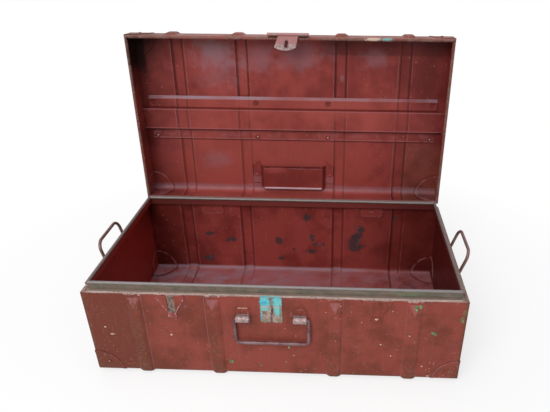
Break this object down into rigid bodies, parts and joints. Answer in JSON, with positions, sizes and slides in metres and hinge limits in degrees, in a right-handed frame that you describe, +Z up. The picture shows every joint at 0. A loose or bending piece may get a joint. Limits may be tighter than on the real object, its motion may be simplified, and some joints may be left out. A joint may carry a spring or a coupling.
{
  "type": "trunk",
  "caption": "Small sheet-metal trunk with ribbed body, hinged lid with stiffener and pocket, hasp, staple, and bail handles at the front and ends.",
  "frame": {"origin": "on the floor under the middle of the base; the bottom sheet stands one rib's rise above it", "axes": "+X to the trunk's right along its length, +Y from the front to the hinges, +Z up"},
  "size_m": [0.6436, 0.4092, 0.4973],
  "materials": {
    "base_paint": "red-oxide paint, worn",
    "lid_paint": "red-oxide paint, worn, with a soft sheen",
    "collar_metal": "old paint over bare steel, dirty",
    "wire": "dark steel",
    "base_rivet": "painted over with the body",
    "lid_rivet": "painted over with the lid",
    "lock_plate": "turquoise paint, flaking",
    "staple": "dull worn steel",
    "catch_plate": "red-oxide paint, its strip bare",
    "lug_metal": "dull worn steel",
    "front_bail": "dark red paint, worn",
    "side_bail": "dark red paint, worn grey",
    "pin_metal": "dark steel",
    "hinge_paint": "red-oxide paint",
    "hasp_leaf": "dull steel, traces of paint",
    "hasp_flap": "dull steel, red paint near its knuckle"
  },
  "bodies": {
    "base": {"base_wrap": "base_paint", "base_end_left": "base_paint", "base_end_right": "base_paint", "collar_front": "collar_metal", "collar_back": "collar_metal", "collar_left": "collar_metal", "collar_right": "collar_metal", "collar_wire": "wire", "base_corner_front_left": "base_paint", "base_corner_front_right": "base_paint", "base_corner_back_left": "base_paint", "base_corner_back_right": "base_paint", "base_cap_front_left": "base_paint", "base_cap_front_right": "base_paint", "base_cap_back_left": "base_paint", "base_cap_back_right": "base_paint", "base_rivets": "base_rivet", "lock_plate": "lock_plate", "staple": "staple", "catch_plate_left": "catch_plate", "catch_plate_right": "base_paint", "front_lug_left": "lug_metal", "front_lug_right": "lug_metal", "left_lug_front": "lug_metal", "left_lug_back": "lug_metal", "right_lug_front": "lug_metal", "right_lug_back": "lug_metal", "hinge_base_leaf_left": "hinge_paint", "hinge_base_leaf_right": "hinge_paint", "hinge_backing_left": "base_paint", "hinge_backing_right": "base_paint", "hinge_pin_left": "pin_metal", "hinge_pin_right": "pin_metal"},
    "lid": {"lid_wrap": "lid_paint", "lid_end_left": "lid_paint", "lid_end_right": "lid_paint", "lid_rim_wire": "wire", "lid_stiffener": "lid_paint", "lid_pocket": "lid_paint", "lid_corner_front_left": "lid_paint", "lid_corner_front_right": "lid_paint", "lid_corner_back_left": "lid_paint", "lid_corner_back_right": "lid_paint", "lid_cap_front_left": "lid_paint", "lid_cap_front_right": "lid_paint", "lid_cap_back_left": "lid_paint", "lid_cap_back_right": "lid_paint", "lid_rivets": "lid_rivet", "hinge_lid_leaf_left": "hinge_paint", "hinge_lid_leaf_right": "hinge_paint", "hasp_leaf": "hasp_leaf", "hasp_pin": "pin_metal"},
    "hasp": {"hasp_flap": "hasp_flap"},
    "front_handle": {"front_handle": "front_bail"},
    "side_handle_left": {"side_handle_left": "side_bail"},
    "side_handle_right": {"side_handle_right": "side_bail"}
  },
  "joints": [
    {"name": "lid_hinge", "type": "hinge", "parent": "base", "child": "lid", "pos_m": [0, 0.1635, 0.166], "axis": [1, 0, 0], "range_deg": [0, 93]},
    {"name": "hasp_swing", "type": "hinge", "parent": "lid", "child": "hasp", "pos_m": [0, 0.17521, 0.49454], "axis": [1, 0, 0], "range_deg": [-150, 0]},
    {"name": "front_handle_swing", "type": "hinge", "parent": "base", "child": "front_handle", "pos_m": [-0.0036, -0.1657, 0.126], "axis": [-1, 0, 0], "range_deg": [0, 170]},
    {"name": "side_handle_left_swing", "type": "hinge", "parent": "base", "child": "side_handle_left", "pos_m": [-0.3057, 0, 0.1335], "axis": [0, -1, 0], "range_deg": [-13, 167]},
    {"name": "side_handle_right_swing", "type": "hinge", "parent": "base", "child": "side_handle_right", "pos_m": [0.3057, 0, 0.1335], "axis": [0, 1, 0], "range_deg": [-18, 162]}
  ],
  "couplings": [
    {"joint": "hasp_swing", "follows": "lid_hinge", "ratio": -1.6}
  ]
}
